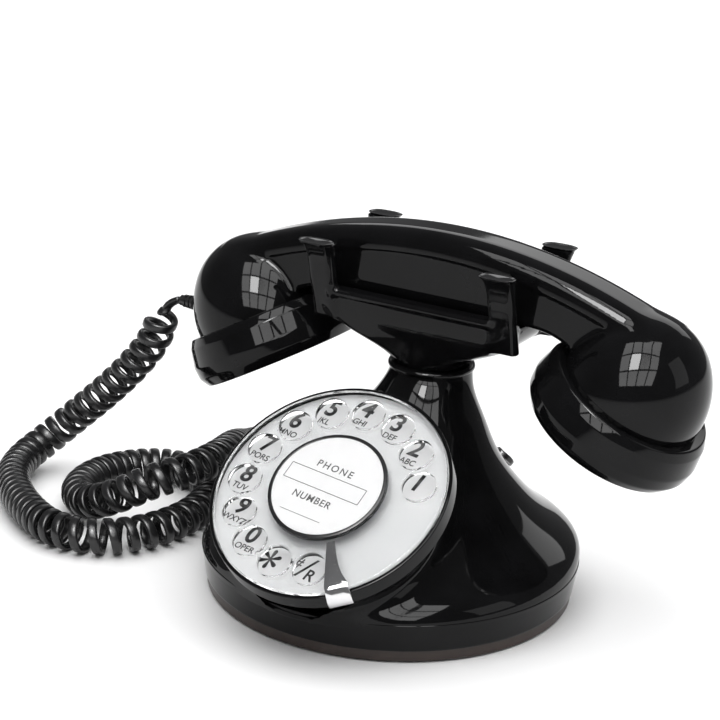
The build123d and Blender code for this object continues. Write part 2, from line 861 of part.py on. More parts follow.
with BuildPart() as strain_relief:
    with BuildSketch(end_plane(-relief_start, relief_z)):
        Circle(2.2)
    extrude(amount=7.0)
    for step in range(4):
        start = relief_start + relief_pitch * step
        with BuildSketch(end_plane(-start, relief_z)):
            Circle(3.2 - 0.15 * step)
        extrude(amount=-relief_ring)
    with BuildSketch(end_plane(-relief_start, relief_z)):
        Circle(2.3)
    extrude(amount=relief_start - relief_end)
finish(strain_relief.part, "strain_relief")

# ---- cord --------------------------------------------------------------------------------
jack_outward = jack_plane(jack_angle).z_dir
jack_mouth = jack_plane(jack_angle).origin
cord_end = jack_mouth + jack_outward * 24.0
cord_turn = jack_mouth + jack_outward * 41.0

lead_route = [
    (-relief_end - 0.7, neck_y, relief_z), (-130.8, neck_y, 86.0),
    (base_x - 130.5, neck_y, 79.0),
]
# relative to the base circle's centre in X
coil_places = [
    (-130.5, neck_y, 79.0), (-134.5, 32, 67), (-145, 30, 53), (-158, 29, 39.5),
    (-172, 28, 26.5), (-184, 22, 14), (-187, 8, 8.6), (-180, -9, 7.8), (-166, -24, 7.8),
    (-148, -37, 7.8), (-129, -46, 7.8), (-110, -43, 7.8), (-98, -30, 7.8),
    (-92, -12, 7.8), (-92, 8, 7.8), (-99, 27, 7.8), (-113, 39, 7.8), (-131, 41, 7.8),
    (-145, 29, 7.8), (-151, 12, 7.8), (-147, -7, 7.8), (-133, -19, 8.8), (-116, -21, 16.5),
    (-102, -14, 25), (-92, 0, 28), (-91, 19, 28), (-97, 38, 25), (-106, 57, 18),
    (-113, 75, 10.5), (-112, 94, 8.2), (-100, 109, 8), (-82, 112, 8),
]
coil_route = [(base_x + x, y, z) for x, y, z in coil_places] + [
    tuple(cord_turn - Vector(0, 0, 1.6)), tuple(cord_end),
]


def cord_tube(route, diameter, label):
    """A tube along straight runs joined by arcs as large as the runs allow."""
    points = [Vector(*point) for point in route]
    runs = [second - first for first, second in zip(points, points[1:])]
    radii = []
    for before, after in zip(runs, runs[1:]):
        turn = radians(before.get_angle(after))
        radii.append(0.45 * min(before.length, after.length) / tan(turn / 2))
    with BuildPart() as piece:
        with BuildLine() as path:
            FilletPolyline(*points, radius=radii)
        start = path.line @ 0
        with BuildSketch(Plane(origin=start, z_dir=path.line % 0)):
            Circle(diameter / 2)
        sweep(path=path.line)
    finish(piece.part, label)


cord_tube(lead_route, lead_diameter, "cord_lead")
cord_tube(coil_route, coil_diameter, "curly_cord")

with BuildPart() as plug_lead:
    with BuildSketch(jack_plane(jack_angle).offset(16.0)):
        Circle(lead_diameter / 2)
    extrude(amount=8.0)
finish(plug_lead.part, "plug_lead")

with BuildPart() as cord_plug:
    with BuildSketch(jack_plane(jack_angle).offset(-9.0)):
        Rectangle(jack_width - 3.2, jack_height - 2.8)
    extrude(amount=17.0)
    with BuildSketch(jack_plane(jack_angle).offset(8.0)):
        Rectangle(jack_width - 5.0, jack_height - 3.6)
    with BuildSketch(jack_plane(jack_angle).offset(16.0)):
        Rectangle(6.0, 5.0)
    loft()
finish(cord_plug.part, "cord_plug")
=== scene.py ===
"""Looks of the rotary telephone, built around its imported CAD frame.

The object and its camera are given in millimetres, like the CAD model, and METRE turns them
into Blender's metres where a mesh or the camera is made. The floor, the lamps and the grain of
the materials are given in metres. +Z is up and the dial faces -Y.
"""
import json
from math import ceil, cos, hypot, pi, radians, sin, tan

import bpy
import numpy as np
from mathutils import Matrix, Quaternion, Vector


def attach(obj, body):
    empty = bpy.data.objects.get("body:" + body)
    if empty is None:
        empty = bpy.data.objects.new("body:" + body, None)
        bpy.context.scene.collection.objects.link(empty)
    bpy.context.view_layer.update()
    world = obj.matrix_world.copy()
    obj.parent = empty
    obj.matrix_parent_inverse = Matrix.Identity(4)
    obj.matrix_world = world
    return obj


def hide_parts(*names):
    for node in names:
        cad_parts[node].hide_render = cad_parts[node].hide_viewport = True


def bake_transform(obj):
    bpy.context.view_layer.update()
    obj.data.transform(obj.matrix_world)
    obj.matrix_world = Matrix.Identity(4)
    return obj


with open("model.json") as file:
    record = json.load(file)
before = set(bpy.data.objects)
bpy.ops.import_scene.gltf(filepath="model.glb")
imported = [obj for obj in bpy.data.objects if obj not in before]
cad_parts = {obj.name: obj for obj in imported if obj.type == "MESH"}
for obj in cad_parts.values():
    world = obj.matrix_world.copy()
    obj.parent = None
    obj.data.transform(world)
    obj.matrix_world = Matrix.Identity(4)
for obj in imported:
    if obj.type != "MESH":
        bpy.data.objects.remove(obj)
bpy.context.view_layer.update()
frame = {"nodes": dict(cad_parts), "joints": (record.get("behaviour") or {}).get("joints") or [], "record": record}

METRE = 0.001
joints = {joint["name"]: joint for joint in frame["joints"]}

# ---- driving dimensions, as in the CAD model ---------------------------------------------
base_x, base_y = -3.4, 6.35
neck_y = base_y + 26.4
rim_bottom, rim_top = 5.1, 16.1
rim_radius, shoulder_radius = 73.5, 75.2
drum_radius = 47.3
wheel_radius, wheel_thickness = 45.5, 2.6
hole_radius, hole_circle, hole_count = 6.6, 35.1, 12
hole_pitch, first_hole = 24.28, 17.8
shaft_hole_radius = 7.05
plate_depth = 4.6
label_radius = 21.75
stop_angle = -58.5
cradle_floor = 111.7
grip_half, grip_crown, grip_arch = 13.0, 141.8, 424.0
dome_x, dome_z, dome_tilt = 83.0, 91.5, 29.0
dome_radius, dome_offset, dome_join = 28.9, 7.5, 40.0

dial_normal = -Vector(joints["dial_turn"]["axis"]).normalized()
dial_centre = Vector(joints["dial_turn"]["pos_m"]) / METRE
dial_across = Vector((1, 0, 0))
dial_up = dial_normal.cross(dial_across)


# ---- camera and cord ---------------------------------------------------------------------
def make_camera():
    """The camera, at the place and with the roll and lens that the view has."""
    data = bpy.data.cameras.new("camera")
    data.lens = 106.1
    data.sensor_width = 36.0
    data.shift_x = 0.0026
    data.clip_start = 0.01
    camera = bpy.data.objects.new("camera", data)
    eye = Vector((base_x + 368.23, base_y - 686.64, 357.99))
    target = Vector((base_x - 18.85, base_y, 89.70))
    roll = Quaternion((0, 0, 1), radians(2.70))
    camera.rotation_mode = "QUATERNION"
    camera.rotation_quaternion = (target - eye).to_track_quat("-Z", "Y") @ roll
    camera.location = eye * METRE
    bpy.context.scene.collection.objects.link(camera)
    bpy.context.scene.camera = camera


def mesh_data(name, points, faces, smooth=True):
    """A mesh in metres from points in millimetres."""
    data = bpy.data.meshes.new(name)
    data.from_pydata((np.asarray(points, float) * METRE).tolist(), [], faces)
    data.polygons.foreach_set("use_smooth", [smooth] * len(data.polygons))
    data.validate()
    return data


def add_piece(name, points, faces, material, body=None, smooth=True, sharp=None):
    """A new piece of the object; edges over `sharp` degrees stay crisp."""
    piece = bpy.data.objects.new(name, mesh_data(name, points, faces, smooth))
    bpy.context.scene.collection.objects.link(piece)
    piece.data.materials.append(material)
    if sharp:
        piece.data.set_sharp_from_angle(angle=radians(sharp))
    if body:
        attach(piece, body)
    return piece


def taken_mesh(holder):
    """Points in millimetres, edges and faces of an object as Blender evaluates it."""
    bpy.context.scene.collection.objects.link(holder)
    graph = bpy.context.evaluated_depsgraph_get()
    graph.update()
    data = bpy.data.meshes.new_from_object(holder.evaluated_get(graph))
    points = np.zeros(len(data.vertices) * 3)
    data.vertices.foreach_get("co", points)
    faces = [tuple(face.vertices) for face in data.polygons]
    bpy.data.objects.remove(holder)
    bpy.data.meshes.remove(data)
    return points.reshape(-1, 3) / METRE, faces


def route_line(route):
    """The smooth line of a cord's route: a NURBS spline with the route as control points."""
    curve = bpy.data.curves.new("route", "CURVE")
    curve.dimensions = "3D"
    curve.resolution_u = 24
    spline = curve.splines.new("NURBS")
    spline.points.add(len(route) - 1)
    for control, point in zip(spline.points, route):
        control.co = (*(Vector(point) * METRE), 1.0)
    spline.order_u = 3
    spline.use_endpoint_u = True
    points, _ = taken_mesh(bpy.data.objects.new("route", curve))
    return points


def distances(line):
    """How far along a line each of its points is."""
    return np.concatenate([[0], np.cumsum(np.linalg.norm(np.diff(line, axis=0), axis=1))])


def unit_tangents(line):
    """The direction of a line at each of its points."""
    tangents = np.gradient(line, axis=0)
    return tangents / np.linalg.norm(tangents, axis=1)[:, None]


def evenly(line, step):
    """The line's points again, `step` apart along it, and how far along each one is."""
    along = distances(line)
    places = np.linspace(0, along[-1], ceil(along[-1] / step) + 1)
    return np.stack([np.interp(places, along, line[:, i]) for i in range(3)], axis=1), places


def carried_normals(line):
    """Unit normals along a line that turn with it and never twist."""
    tangents = unit_tangents(line)
    normal = np.cross(tangents[0], (0, 0, 1.0))
    normals = []
    for tangent in tangents:
        normal = normal - tangent * (normal @ tangent)
        normal /= np.linalg.norm(normal)
        normals.append(normal)
    return tangents, np.array(normals)


def swept(line, sides, outline):
    """Points and faces of an outline carried along a line, with closed ends.

    The outline holds (across, out), and `sides` is the way that its out side faces.
    """
    tangents = unit_tangents(line)
    across = np.cross(tangents, sides)
    across /= np.linalg.norm(across, axis=1)[:, None]
    out = np.cross(across, tangents)
    outline = np.array(outline)
    points = (line[:, None] + across[:, None] * outline[None, :, :1]
              + out[:, None] * outline[None, :, 1:])
    count, ring = len(line), len(outline)
    faces = []
    for i in range(count - 1):
        for j in range(ring):
            k = (j + 1) % ring
            faces.append((i * ring + j, i * ring + k, (i + 1) * ring + k, (i + 1) * ring + j))
    faces.append(tuple(range(ring - 1, -1, -1)))
    faces.append(tuple(range((count - 1) * ring, count * ring)))
    return points.reshape(-1, 3), faces


def squared(value, power):
    """A sine or cosine drawn towards its extremes, which squares off an ellipse."""
    return np.sign(value) * abs(value) ** power


ribbon_width, ribbon_thickness = 4.0, 2.4
ribbon_sides = 20
coil_radius = 7.5 - ribbon_thickness / 2     # of the ribbon's middle
jack_angle = radians(125.0)
jack_outward = Vector((cos(jack_angle), sin(jack_angle), 0))
jack_mouth = Vector((base_x, base_y, 10.9)) + jack_outward * rim_radius
relief_z = 88.0

lead_route = [
    (-125.2, neck_y, relief_z), (-130.8, neck_y, 86.0), (base_x - 130.5, neck_y, 79.0),
]
# relative to the base circle's centre in X
coil_places = [
    (-134.5, 32, 67), (-145, 30, 53), (-158, 29, 39.5),
    (-172, 28, 26.5), (-184, 22, 14), (-187, 8, 8.6), (-180, -9, 7.8), (-166, -24, 7.8),
    (-148, -37, 7.8), (-129, -46, 7.8), (-110, -43, 7.8), (-98, -30, 7.8),
    (-92, -12, 7.8), (-92, 8, 7.8), (-99, 27, 7.8), (-113, 39, 7.8), (-131, 41, 7.8),
    (-145, 29, 7.8), (-151, 12, 7.8), (-147, -7, 7.8), (-133, -19, 8.8), (-116, -21, 16.5),
    (-102, -14, 25), (-92, 0, 28), (-91, 19, 28), (-97, 38, 25), (-106, 57, 18),
    (-113, 75, 10.5), (-112, 94, 8.2), (-100, 109, 8), (-82, 112, 8),
]
coil_route = [(base_x + x, y, z) for x, y, z in coil_places] + [
    tuple(jack_mouth + jack_outward * 41.0 - Vector((0, 0, 1.6))),
    tuple(jack_mouth + jack_outward * 24.0),
    tuple(jack_mouth + jack_outward * 15.0),
]
straight_start, straight_end = 9.0, 20.0     # wire that isn't coiled, at the cord's two ends
coil_ramp = 7.0                              # length in which the coil opens out
coil_phase = 2.2                             # angle around the route where the coil starts
# share of the coiled length, and the coil's pitch there: open where the cord is pulled
pitch_shares = [0.0, 0.12, 0.19, 0.28, 0.33, 0.46, 0.52, 0.62, 0.67, 0.85, 0.93, 1.0]
pitches = [7.4, 6.6, 4.7, 4.7, 7.0, 7.2, 5.2, 5.2, 6.8, 6.6, 5.4, 7.0]


def make_cord(material):
    """The curly cord: one flat ribbon that leaves the handset, winds and ends in its plug."""
    line, along = evenly(route_line(lead_route + coil_route), 0.22)
    tangents, normals = carried_normals(line)
    binormals = np.cross(tangents, normals)
    coil_start, coil_end = straight_start, along[-1] - straight_end
    opened = (np.clip((along - coil_start) / coil_ramp, 0, 1)
              * np.clip((coil_end - along) / coil_ramp, 0, 1))
    opened = opened ** 2 * (3 - 2 * opened)
    share = np.clip((along - coil_start) / (coil_end - coil_start), 0, 1)
    turning = (share > 0) & (share < 1)
    pitch = np.interp(share, pitch_shares, pitches)
    phase = np.cumsum(np.where(turning, np.gradient(along) / pitch, 0)) * 2 * pi + coil_phase
    radial = np.cos(phase)[:, None] * normals + np.sin(phase)[:, None] * binormals
    wound = line + radial * (coil_radius * opened)[:, None]
    wire, places = evenly(wound, 1.0)
    # the ribbon's flat side faces away from the coil's own line
    wound_along = distances(wound)
    sides = np.stack([np.interp(places, wound_along, radial[:, i]) for i in range(3)], axis=1)
    outline = []
    for step in range(ribbon_sides):
        angle = 2 * pi * step / ribbon_sides
        hollow = 1 - 0.12 * cos(angle) ** 2
        outline.append((ribbon_width / 2 * squared(cos(angle), 0.55),
                        ribbon_thickness / 2 * squared(sin(angle), 0.7) * hollow))
    points, faces = swept(wire, sides, outline)
    cord = add_piece("curly_cord_ribbon", points, faces, material)
    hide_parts("cord_lead", "curly_cord", "plug_lead")
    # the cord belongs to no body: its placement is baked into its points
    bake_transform(cord)


# ---- materials ---------------------------------------------------------------------------
def new_material(name):
    """A material, its node tree and its Principled shader."""
    material = bpy.data.materials.new(name)
    material.use_nodes = True
    tree = material.node_tree
    shader = next(node for node in tree.nodes if node.type == "BSDF_PRINCIPLED")
    return material, tree, shader


def noise(tree, scale, detail=3.0, stretch=(1, 1, 1), distortion=0.0):
    """Noise in the object's own space, `scale` patches to the metre."""
    place = tree.nodes.new("ShaderNodeTexCoord")
    mapping = tree.nodes.new("ShaderNodeMapping")
    mapping.inputs["Scale"].default_value = stretch
    texture = tree.nodes.new("ShaderNodeTexNoise")
    texture.inputs["Scale"].default_value = scale
    texture.inputs["Detail"].default_value = detail
    texture.inputs["Distortion"].default_value = distortion
    tree.links.new(place.outputs["Object"], mapping.inputs["Vector"])
    tree.links.new(mapping.outputs["Vector"], texture.inputs["Vector"])
    return texture.outputs["Fac"]


def ranged(tree, value, low, high, start=0.3, end=0.7):
    """The value, from start to end, spread over low to high."""
    node = tree.nodes.new("ShaderNodeMapRange")
    node.inputs["From Min"].default_value = start
    node.inputs["From Max"].default_value = end
    node.inputs["To Min"].default_value = low
    node.inputs["To Max"].default_value = high
    tree.links.new(value, node.inputs["Value"])
    return node.outputs["Result"]


def blended(tree, factor, first, second):
    """A colour between two others."""
    node = tree.nodes.new("ShaderNodeMix")
    node.data_type = "RGBA"
    node.inputs["A"].default_value = (*first, 1)
    node.inputs["B"].default_value = (*second, 1)
    tree.links.new(factor, node.inputs["Factor"])
    return node.outputs["Result"]


def bumped(tree, shader, height, strength, distance):
    """Bump of the height, `distance` metres deep at full strength."""
    node = tree.nodes.new("ShaderNodeBump")
    node.inputs["Strength"].default_value = strength
    node.inputs["Distance"].default_value = distance
    tree.links.new(height, node.inputs["Height"])
    tree.links.new(node.outputs["Normal"], shader.inputs["Normal"])


def plastic(name, colour, worn_colour, roughness, patch=60.0, grain=0.0, specular=0.5):
    """Moulded plastic: cloudy gloss from handling and, where asked, a fine moulded grain."""
    material, tree, shader = new_material(name)
    colour_out = blended(tree, ranged(tree, noise(tree, patch), 0, 1), colour, worn_colour)
    tree.links.new(colour_out, shader.inputs["Base Color"])
    smudges = noise(tree, patch * 0.6, detail=6.0, distortion=0.6)
    tree.links.new(ranged(tree, smudges, *roughness), shader.inputs["Roughness"])
    shader.inputs["Specular IOR Level"].default_value = specular
    if grain:
        bumped(tree, shader, noise(tree, 2600.0, detail=2.0), grain, 0.00004)
    else:
        bumped(tree, shader, noise(tree, 95.0, detail=1.0), 0.05, 0.0001)
    return material


def metal(name, colour, roughness, brushed=1.0):
    """Metal with fine drawn lines along one direction and a little tarnish."""
    material, tree, shader = new_material(name)
    lines = noise(tree, 500.0, detail=4.0, stretch=(1, 14, 14))
    clouds = noise(tree, 45.0, detail=5.0)
    dull = tuple(0.72 * part for part in colour)
    tree.links.new(blended(tree, ranged(tree, clouds, 0, 1), colour, dull),
                   shader.inputs["Base Color"])
    tree.links.new(ranged(tree, lines, *roughness), shader.inputs["Roughness"])
    shader.inputs["Metallic"].default_value = 1.0
    bumped(tree, shader, lines, 0.12 * brushed, 0.00003)
    return material


def clear_plastic(name, tint, roughness, bending):
    """Clear moulded acrylic with faint swirls from polishing."""
    material, tree, shader = new_material(name)
    shader.inputs["Base Color"].default_value = (*tint, 1)
    shader.inputs["Transmission Weight"].default_value = 1.0
    shader.inputs["IOR"].default_value = bending
    swirls = noise(tree, 160.0, detail=3.0, distortion=1.5)
    tree.links.new(ranged(tree, swirls, *roughness), shader.inputs["Roughness"])
    return material


def thin_film(name):
    """Clear sheet so thin that it only adds a faint gloss."""
    material, tree, shader = new_material(name)
    shader.inputs["Base Color"].default_value = (0.95, 0.95, 0.95, 1)
    shader.inputs["Alpha"].default_value = 0.06
    swirls = noise(tree, 160.0, detail=3.0, distortion=1.5)
    tree.links.new(ranged(tree, swirls, 0.02, 0.06), shader.inputs["Roughness"])
    return material


def make_materials():
    """One material for each material slot of the record."""
    return {
        "black_gloss": plastic("black_gloss", (0.0030, 0.0030, 0.0032), (0.0055, 0.0055, 0.006),
                               (0.03, 0.065), specular=0.18),
        "brown_plate": plastic("brown_plate", (0.020, 0.011, 0.008), (0.032, 0.019, 0.014),
                               (0.30, 0.42), patch=120.0, grain=0.5),
        "rubber": plastic("rubber", (0.020, 0.020, 0.020), (0.032, 0.031, 0.030),
                          (0.65, 0.85), patch=200.0, grain=1.0),
        "screw_steel": metal("screw_steel", (0.55, 0.55, 0.56), (0.22, 0.38)),
        "ballast": metal("ballast", (0.16, 0.16, 0.165), (0.55, 0.75)),
        "brass_spacers": metal("brass_spacers", (0.72, 0.54, 0.25), (0.18, 0.34)),
        "circuit_board": plastic("circuit_board", (0.012, 0.12, 0.05), (0.016, 0.15, 0.065),
                                 (0.25, 0.4), patch=300.0, grain=0.3),
        "chip_plastic": plastic("chip_plastic", (0.022, 0.022, 0.024), (0.032, 0.032, 0.034),
                                (0.5, 0.65), patch=240.0, grain=0.8),
        "socket_plastic": plastic("socket_plastic", (0.012, 0.012, 0.013), (0.02, 0.02, 0.021),
                                  (0.35, 0.5), patch=240.0, grain=0.5),
        "number_plate": plastic("number_plate", (0.60, 0.605, 0.61), (0.64, 0.64, 0.645),
                                (0.32, 0.42), patch=70.0, grain=0.15),
        "zinc_plate": metal("zinc_plate", (0.60, 0.60, 0.58), (0.25, 0.4)),
        "spring_steel": metal("spring_steel", (0.36, 0.36, 0.40), (0.2, 0.34)),
        "polished_steel": metal("polished_steel", (0.80, 0.80, 0.81), (0.05, 0.13), brushed=0.4),
        "cord_vinyl": plastic("cord_vinyl", (0.006, 0.006, 0.0065), (0.010, 0.010, 0.0105),
                              (0.24, 0.34), patch=180.0, grain=0.35, specular=0.5),
        "plug_clear": plastic("plug_clear", (0.012, 0.012, 0.013), (0.018, 0.018, 0.02),
                              (0.12, 0.2), patch=160.0),
        "clear_acrylic": clear_plastic("clear_acrylic", (0.985, 0.99, 0.99), (0.0, 0.03), 1.27),
        "clear_cover": thin_film("clear_cover"),
        "white_plastic": plastic("white_plastic", (0.74, 0.74, 0.74), (0.80, 0.80, 0.80),
                                 (0.2, 0.3), patch=90.0),
        "black_trim": plastic("black_trim", (0.008, 0.008, 0.009), (0.014, 0.014, 0.015),
                              (0.18, 0.3), patch=150.0),
        "label_paper": plastic("label_paper", (0.74, 0.74, 0.745), (0.78, 0.78, 0.78),
                               (0.55, 0.7), patch=260.0, grain=0.4),
    }


def dress_nodes(materials):
    """Gives every CAD node its slot's material."""
    for subpart in frame["record"]["subparts"]:
        node = frame["nodes"][subpart["node"]]
        material = materials[subpart["material_slot"]]
        if not node.material_slots:
            node.data.materials.append(material)
        for place in node.material_slots:
            place.material = material


# ---- shape tools -------------------------------------------------------------------------
def smooth_curve(places, values):
    """A curve of continuous curvature through the values: a natural cubic spline."""
    x, y = np.array(places, float), np.array(values, float)
    step = np.diff(x)
    count = len(x)
    system, right_side = np.eye(count), np.zeros(count)
    for i in range(1, count - 1):
        system[i, i - 1:i + 2] = step[i - 1], 2 * (step[i - 1] + step[i]), step[i]
        rise = (y[i + 1] - y[i]) / step[i] - (y[i] - y[i - 1]) / step[i - 1]
        right_side[i] = 6 * rise
    bend = np.linalg.solve(system, right_side)

    def at(place):
        place = np.clip(place, x[0], x[-1])
        i = np.clip(np.searchsorted(x, place) - 1, 0, count - 2)
        before, after, width = place - x[i], x[i + 1] - place, step[i]
        return ((bend[i] * after ** 3 + bend[i + 1] * before ** 3) / (6 * width)
                + (y[i] / width - bend[i] * width / 6) * after
                + (y[i + 1] / width - bend[i + 1] * width / 6) * before)

    return at


def joined(first, second, blend_radius):
    """Union of two solids' distance fields with a fillet between them."""
    share = np.clip(0.5 + 0.5 * (second - first) / blend_radius, 0, 1)
    return second + (first - second) * share - blend_radius * share * (1 - share)


def common(first, second, blend_radius):
    """Intersection of two solids' distance fields with a rounded edge."""
    return -joined(-first, -second, blend_radius)


def rounded_box(x, y, half_x, half_y, corner):
    """Distance from a rectangle with rounded corners."""
    over_x, over_y = np.abs(x) - half_x + corner, np.abs(y) - half_y + corner
    outside = np.hypot(np.maximum(over_x, 0), np.maximum(over_y, 0))
    return outside + np.minimum(np.maximum(over_x, over_y), 0) - corner


def level_surface(field, low, high, step):
    """Points and quads of the surface where a distance field is zero.

    Each grid cell that the surface crosses gets one point, at the middle of its crossings.
    The points are then evened out and moved onto the surface itself.
    """
    axes = [np.arange(start, end + step, step) for start, end in zip(low, high)]
    value = field(*np.meshgrid(*axes, indexing="ij"))
    inside = value < 0
    cells = tuple(size - 1 for size in value.shape)
    offsets = [(i, j, k) for i in (0, 1) for j in (0, 1) for k in (0, 1)]

    def corner(array, offset):
        return array[tuple(slice(o, o + size) for o, size in zip(offset, cells))]

    filled = sum(corner(inside, offset).astype(int) for offset in offsets)
    mixed = (filled > 0) & (filled < 8)
    number = np.full(cells, -1)
    number[mixed] = np.arange(mixed.sum())
    where = np.argwhere(mixed)
    values = np.stack([corner(value, offset)[mixed] for offset in offsets], axis=1)
    total, crossings = np.zeros((len(where), 3)), np.zeros(len(where))
    for a, first in enumerate(offsets):
        for b, second in enumerate(offsets):
            if a < b and sum(abs(p - q) for p, q in zip(first, second)) == 1:
                crossed = (values[:, a] < 0) != (values[:, b] < 0)
                share = values[crossed, a] / (values[crossed, a] - values[crossed, b])
                start, way = np.array(first), np.array(second) - np.array(first)
                total[crossed] += start + way * share[:, None]
                crossings[crossed] += 1
    points = (where + total / crossings[:, None]) * step + np.array(low)

    faces = []
    for axis in range(3):
        others = [other for other in range(3) if other != axis]
        near = [slice(None)] * 3
        far = [slice(None)] * 3
        near[axis], far[axis] = slice(0, -1), slice(1, None)
        change = inside[tuple(near)].astype(int) - inside[tuple(far)].astype(int)
        edges = np.argwhere(change != 0)
        signs = change[change != 0]
        keep = np.all((edges[:, others] > 0)
                      & (edges[:, others] < np.array(cells)[others]), axis=1)
        edges, signs = edges[keep], signs[keep]
        around = []
        for back_a, back_b in ((1, 1), (0, 1), (0, 0), (1, 0)):
            cell = edges.copy()
            cell[:, others[0]] -= back_a
            cell[:, others[1]] -= back_b
            around.append(number[tuple(cell.T)])
        quads = np.stack(around, axis=1)
        if axis == 1:
            signs = -signs
        quads[signs < 0] = quads[signs < 0][:, ::-1]
        faces.append(quads)
    faces = np.concatenate(faces)

    links = np.concatenate([faces[:, [i, (i + 1) % 4]] for i in range(4)])
    links = np.unique(np.sort(links, axis=1), axis=0)
    uses = np.zeros(len(points))
    np.add.at(uses, links.ravel(), 1)

    def onto(places):
        for _ in range(2):
            here = field(*places.T)
            slope = np.zeros_like(places)
            for i in range(3):
                ahead, behind = places.copy(), places.copy()
                ahead[:, i] += 0.02
                behind[:, i] -= 0.02
                slope[:, i] = (field(*ahead.T) - field(*behind.T)) / 0.04
            size = np.maximum((slope ** 2).sum(axis=1), 0.05)
            move = -(here / size)[:, None] * slope
            reach = np.linalg.norm(move, axis=1)
            places = places + move * np.minimum(1, step / np.maximum(reach, 1e-9))[:, None]
        return places

    points = onto(points)
    for _ in range(3):
        mean = np.zeros_like(points)
        np.add.at(mean, links[:, 0], points[links[:, 1]])
        np.add.at(mean, links[:, 1], points[links[:, 0]])
        points = onto(0.5 * points + 0.5 * mean / np.maximum(uses, 1)[:, None])
    return points, [tuple(face) for face in faces.tolist()]


def grid_faces(rows, columns, closed=True):
    """Quads between neighbouring rows of points; `closed` joins the last row to the first."""
    faces = []
    for i in range(rows if closed else rows - 1):
        after = (i + 1) % rows
        for j in range(columns - 1):
            faces.append((i * columns + j, after * columns + j,
                          after * columns + j + 1, i * columns + j + 1))
    return faces


def lathe(profile, origin, axis, across, count=192):
    """Points and faces of a profile of (radius, height) turned about an axis."""
    axis, across = Vector(axis).normalized(), Vector(across).normalized()
    side = axis.cross(across)
    points = []
    for step in range(count):
        angle = 2 * pi * step / count
        outward = across * cos(angle) + side * sin(angle)
        points += [tuple(Vector(origin) + outward * r + axis * h) for r, h in profile]
    return np.array(points), grid_faces(count, len(profile))


def rounded_profile(corners, radii, steps=5):
    """A profile's corners, each eased by an arc of its radius."""
    points = [corners[0]]
    for before, place, after, radius in zip(corners, corners[1:], corners[2:], radii):
        a, b = Vector(before) - Vector(place), Vector(after) - Vector(place)
        half = a.angle(b) / 2
        cut = min(radius / tan(half), 0.49 * a.length, 0.49 * b.length)
        start, end = Vector(place) + a.normalized() * cut, Vector(place) + b.normalized() * cut
        for step in range(steps + 1):
            t = step / steps
            # a quadratic arc between the two cuts, pulled to the corner
            point = start * (1 - t) ** 2 + Vector(place) * 2 * t * (1 - t) + end * t ** 2
            points.append((point.x, point.y))
    points.append(corners[-1])
    return points


def pierced_plate(rings, thickness, edge):
    """Points and faces of a flat plate bounded by circles (x, y, radius), edges rounded."""
    curve = bpy.data.curves.new("plate", "CURVE")
    curve.dimensions = "2D"
    curve.fill_mode = "BOTH"
    curve.extrude = (thickness / 2 - edge) * METRE
    curve.bevel_depth = edge * METRE
    curve.bevel_resolution = 3
    curve.offset = -edge * METRE
    curve.resolution_u = 16
    handle = 4 / 3 * tan(pi / 8)
    for x, y, radius in rings:
        spline = curve.splines.new("BEZIER")
        spline.bezier_points.add(3)
        spline.use_cyclic_u = True
        for step, point in enumerate(spline.bezier_points):
            angle = pi / 2 * step
            place = Vector((x + radius * cos(angle), y + radius * sin(angle), 0))
            along = Vector((-sin(angle), cos(angle), 0)) * radius * handle
            point.co = place * METRE
            point.handle_left = (place - along) * METRE
            point.handle_right = (place + along) * METRE
    return taken_mesh(bpy.data.objects.new("plate", curve))


def text_shape(text, height, bold=0.0, slant=0.0, spacing=1.0):
    """Points and faces of a line of text around its middle, its capitals `height` tall."""
    shapes = []
    for offset in (0.0, bold):
        curve = bpy.data.curves.new("text", "FONT")
        curve.body = text
        curve.size = height / 0.7 * METRE
        curve.shear = slant
        curve.offset = offset * METRE
        curve.space_character = spacing
        curve.align_x = "CENTER"
        curve.align_y = "CENTER"
        curve.resolution_u = 6
        curve.extrude = 0.01 * METRE
        shapes.append(taken_mesh(bpy.data.objects.new("text", curve)))
    plain, thick = np.array(shapes[0][0]), np.array(shapes[1][0])
    # thickened strokes stay near the plain letters, so that sharp corners make no spikes
    reach = np.array([1.3 * bold, 1.3 * bold, 1.0])
    return np.clip(thick, plain.min(axis=0) - reach, plain.max(axis=0) + reach), shapes[1][1]


def put(points, origin, across, up, out, turn=0.0, shift=(0, 0, 0)):
    """Flat points turned by an angle and shifted, then laid on a plane."""
    c, s = cos(radians(turn)), sin(radians(turn))
    x = points[:, 0] * c - points[:, 1] * s + shift[0]
    y = points[:, 0] * s + points[:, 1] * c + shift[1]
    z = points[:, 2] + shift[2]
    return (np.array(origin) + x[:, None] * np.array(across) + y[:, None] * np.array(up)
            + z[:, None] * np.array(out))


def gathered(parts):
    """Several (points, faces) as one."""
    points, faces, count = [], [], 0
    for part_points, part_faces in parts:
        points.append(np.asarray(part_points, float))
        faces += [tuple(i + count for i in face) for face in part_faces]
        count += len(part_points)
    return np.concatenate(points), faces


def on_dial(points, turn=0.0, shift=(0, 0, 0)):
    """Flat points laid on the plane of the finger wheel's front."""
    return put(points, dial_centre, dial_across, dial_up, dial_normal, turn, shift)


# ---- housing -----------------------------------------------------------------------------
bell_heights = [12.0, 16.1, 22.0, 30.0, 40.0, 52.0, 66.0, 78.0, 84.0, 86.0]
bell_radius = smooth_curve(
    bell_heights, [74.6, 74.9, 73.2, 61.0, 47.2, 35.0, 25.4, 18.2, 16.6, 16.5])
bell_back = smooth_curve(
    bell_heights, [0.0, 0.0, 2.2, 5.3, 9.2, 14.0, 19.4, 24.2, 26.4, 26.4])
drum_front = 6.3          # the drum of the body starts this deep, behind its bezel
drum_straight = 8.5
drum_taper = 0.72


